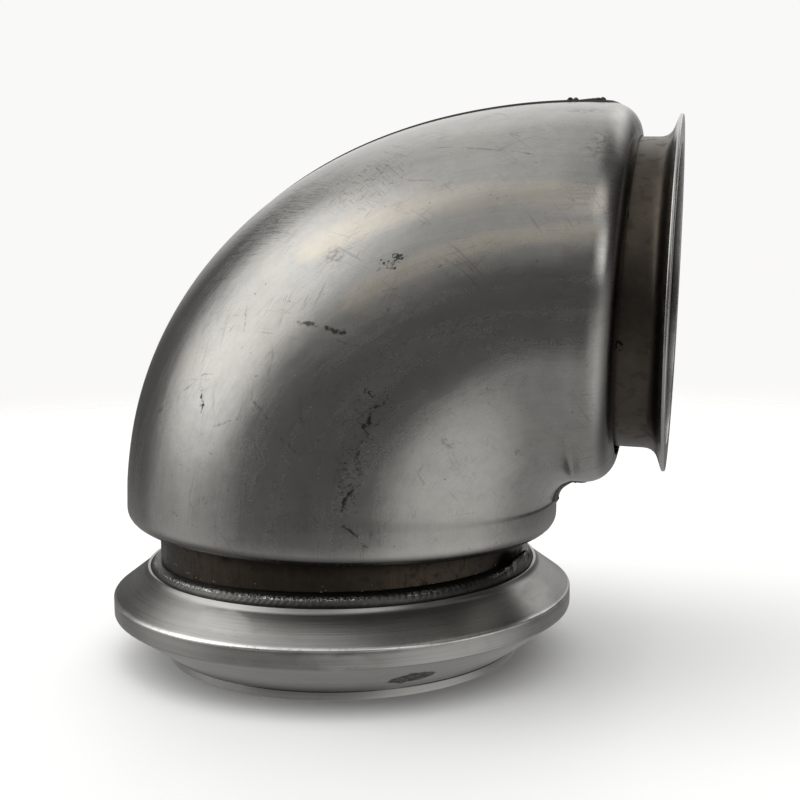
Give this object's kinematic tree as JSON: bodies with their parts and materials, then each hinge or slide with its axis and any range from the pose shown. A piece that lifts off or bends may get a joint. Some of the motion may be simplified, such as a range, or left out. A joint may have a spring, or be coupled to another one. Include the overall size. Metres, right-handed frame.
{
  "type": "pipe elbow",
  "caption": "Right-angle double-wall insulated exhaust pipe elbow, reducing from a double-cone clamp flange at the inlet to a thin flared flange at the outlet.",
  "frame": {"origin": "centre of the inlet pilot's sealing face, on the inlet axis", "axes": "+Z along the inlet axis into the elbow, +X the way the outlet points; the bend lies in the XZ plane"},
  "size_m": [0.1972, 0.1602, 0.1886],
  "materials": {
    "shell_steel": "satin pressed stainless sheet, scuffed",
    "tube_steel": "stainless tube, browned by heat",
    "flange_steel": "turned stainless, satin",
    "weld_metal": "as-welded, dark oxide",
    "fibre_blanket": "ceramic fibre felt",
    "wire_mesh": "knitted stainless wire"
  },
  "bodies": {
    "root": {"outer_shell_front": "shell_steel", "outer_shell_rear": "shell_steel", "crown_lap_tacks": "weld_metal", "throat_lap_tacks": "weld_metal", "inlet_tack_welds": "weld_metal", "outlet_tack_welds": "weld_metal", "insulation_front": "fibre_blanket", "insulation_rear": "fibre_blanket", "inlet_mesh_ring": "wire_mesh", "outlet_mesh_ring": "wire_mesh", "inner_elbow_front": "tube_steel", "inner_elbow_rear": "tube_steel", "inner_crown_weld": "weld_metal", "inner_throat_weld": "weld_metal", "inlet_collar": "tube_steel", "collar_weld": "weld_metal", "inlet_flange": "flange_steel", "flange_weld": "weld_metal", "outlet_flange": "tube_steel", "outlet_neck_weld": "weld_metal"}
  },
  "joints": []
}
